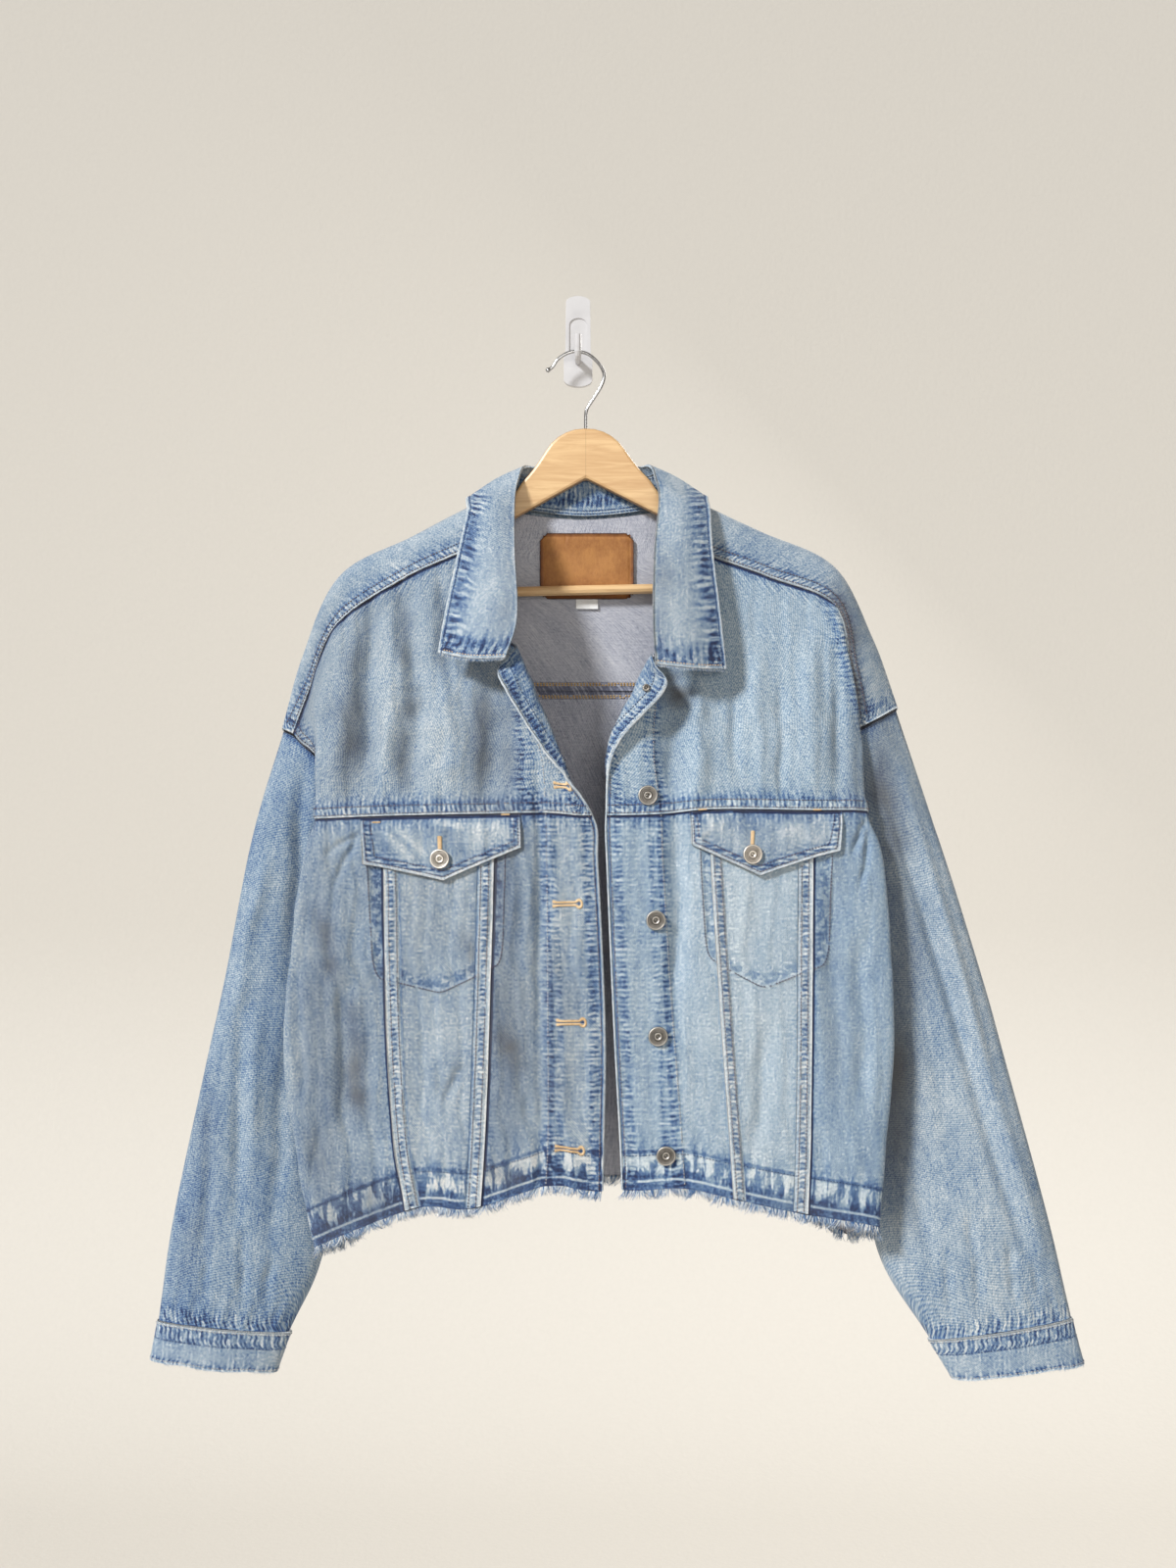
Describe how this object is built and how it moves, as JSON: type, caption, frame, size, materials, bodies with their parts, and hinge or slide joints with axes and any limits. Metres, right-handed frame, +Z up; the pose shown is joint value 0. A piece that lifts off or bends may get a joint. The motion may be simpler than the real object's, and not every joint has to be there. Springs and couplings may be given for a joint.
{
  "type": "denim jacket on a wooden hanger and wall hook",
  "caption": "Cropped denim jacket with pointed collar, flap pockets, open front and a raw hem, hung on a wooden hanger from a wall hook.",
  "frame": {"origin": "centre of the wall hook's back face, where it sticks to the wall", "axes": "+Z up, +Y towards the wall, the jacket faces -Y and +X is to the right as it is looked at"},
  "size_m": [0.8365, 0.1091, 0.9789],
  "materials": {
    "denim_outer": "washed light blue twill, faded and slubby",
    "denim_inner": "unfaded grey-blue reverse of the twill",
    "frayed_edge": "loose white and blue threads",
    "leather": "smooth waxed tan",
    "label": "plain white tape",
    "maple": "clear satin lacquer",
    "chrome_wire": "polished",
    "white_plastic": "moulded gloss white",
    "button_metal": "antique pewter plate, worn"
  },
  "bodies": {
    "root": {"back_panel": "denim_outer", "back_yoke": "denim_outer", "button_back_1": "button_metal", "button_cuff_left": "button_metal", "button_cuff_right": "button_metal", "button_flap_left": "button_metal", "button_flap_right": "button_metal", "button_front_1": "button_metal", "button_front_2": "button_metal", "button_front_3": "button_metal", "button_front_4": "button_metal", "button_front_5": "button_metal", "care_label": "label", "collar": "denim_outer", "collar_stand": "denim_outer", "cuff_left": "denim_outer", "cuff_right": "denim_outer", "fringe_back": "frayed_edge", "fringe_left": "frayed_edge", "fringe_right": "frayed_edge", "front_centre_left": "denim_outer", "front_centre_right": "denim_outer", "front_facing_left": "denim_inner", "front_facing_right": "denim_inner", "front_middle_left": "denim_outer", "front_middle_right": "denim_outer", "front_side_left": "denim_outer", "front_side_right": "denim_outer", "front_yoke_left": "denim_outer", "front_yoke_right": "denim_outer", "hanger_bar": "maple", "hanger_hook": "chrome_wire", "hanger_wood": "maple", "leather_patch": "leather", "pocket_bag_left": "denim_inner", "pocket_bag_right": "denim_inner", "pocket_flap_left": "denim_outer", "pocket_flap_right": "denim_outer", "seam_band_inner_left": "denim_outer", "seam_band_inner_right": "denim_outer", "seam_band_outer_left": "denim_outer", "seam_band_outer_right": "denim_outer", "sleeve_top_left": "denim_outer", "sleeve_top_right": "denim_outer", "sleeve_under_left": "denim_outer", "sleeve_under_right": "denim_outer", "wall_hook": "white_plastic"}
  },
  "joints": []
}
